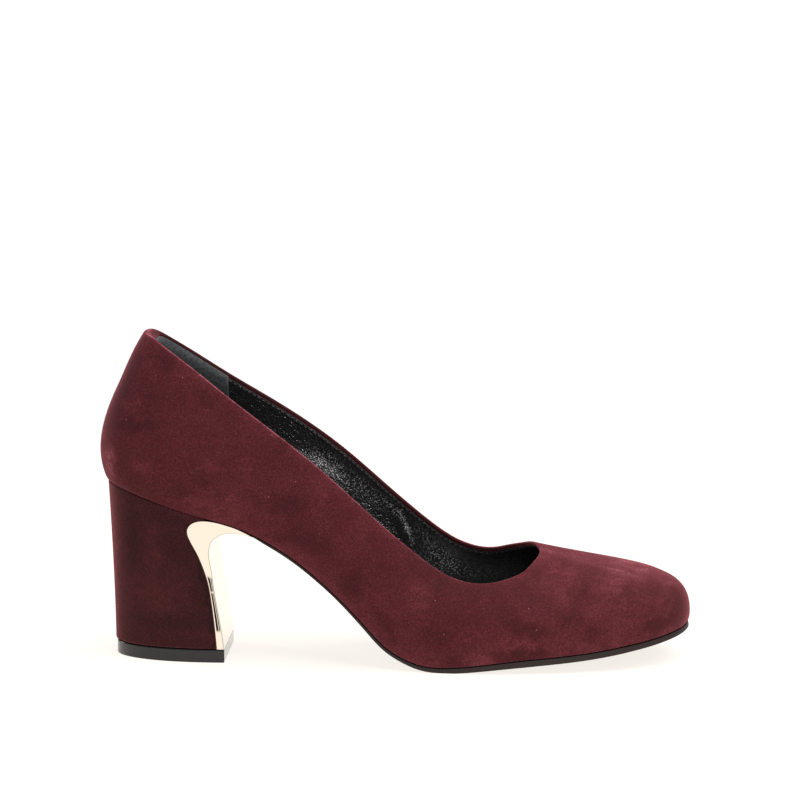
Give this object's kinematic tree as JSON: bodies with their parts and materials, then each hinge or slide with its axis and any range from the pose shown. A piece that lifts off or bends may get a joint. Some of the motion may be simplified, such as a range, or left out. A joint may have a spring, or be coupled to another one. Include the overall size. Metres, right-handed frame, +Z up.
{
  "type": "block heel court shoe",
  "caption": "Women's slip-on court shoe for the right foot: hollow suede upper with a rounded toe and low throat, covered block heel with a metal plate on its front, thin sole.",
  "frame": {"origin": "on the floor under the middle of the shoe's length and width", "axes": "+X towards the toe, +Y towards the inner side of the foot, +Z up"},
  "size_m": [0.2333, 0.0768, 0.1293],
  "materials": {
    "suede": "burgundy suede, soft matt nap",
    "sock_leather": "black lining leather, glossy and crinkled",
    "sole_leather": "dark sole leather, waxed edge",
    "heel_suede": "darker burgundy suede over a moulded block",
    "gold_metal": "pale gold, polished",
    "lift_rubber": "black, satin"
  },
  "bodies": {
    "root": {"upper": "suede", "insole": "sock_leather", "outsole": "sole_leather", "heel_block": "heel_suede", "heel_plate": "gold_metal", "top_piece": "lift_rubber"}
  },
  "joints": []
}
